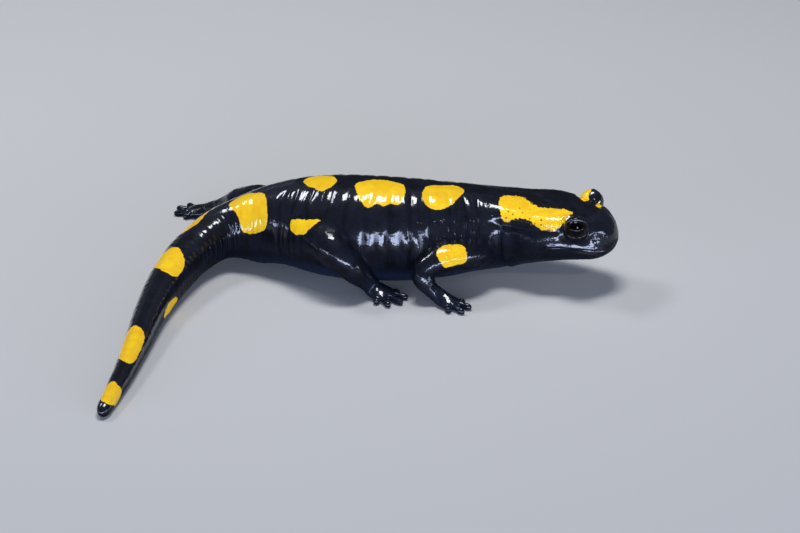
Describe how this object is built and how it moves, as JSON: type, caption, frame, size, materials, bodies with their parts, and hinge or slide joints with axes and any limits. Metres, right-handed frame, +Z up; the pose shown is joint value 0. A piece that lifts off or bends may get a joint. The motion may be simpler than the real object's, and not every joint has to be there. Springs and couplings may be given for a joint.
{
  "type": "salamander",
  "caption": "Still life-size fire salamander, black with yellow blotches, lying on its belly with head raised and tail curled to its right side.",
  "frame": {"origin": "middle of the flat on which the belly lies", "axes": "+X towards the head, +Y towards the animal's left side, +Z up"},
  "size_m": [0.0961, 0.0936, 0.0199],
  "materials": {
    "skin": "smooth wet skin, near black with yellow blotches, glossy",
    "eye": "polished, like a wet cornea"
  },
  "bodies": {
    "root": {"head": "skin", "lower_jaw": "skin", "neck": "skin", "chest": "skin", "belly": "skin", "pelvis": "skin", "tail_root": "skin", "tail_middle": "skin", "tail_tip": "skin", "right_eye": "eye", "left_eye": "eye", "right_front_upper_arm": "skin", "right_front_forearm": "skin", "right_front_hand": "skin", "left_front_upper_arm": "skin", "left_front_forearm": "skin", "left_front_hand": "skin", "right_hind_thigh": "skin", "right_hind_shank": "skin", "right_hind_foot": "skin", "left_hind_thigh": "skin", "left_hind_shank": "skin", "left_hind_foot": "skin"}
  },
  "joints": []
}
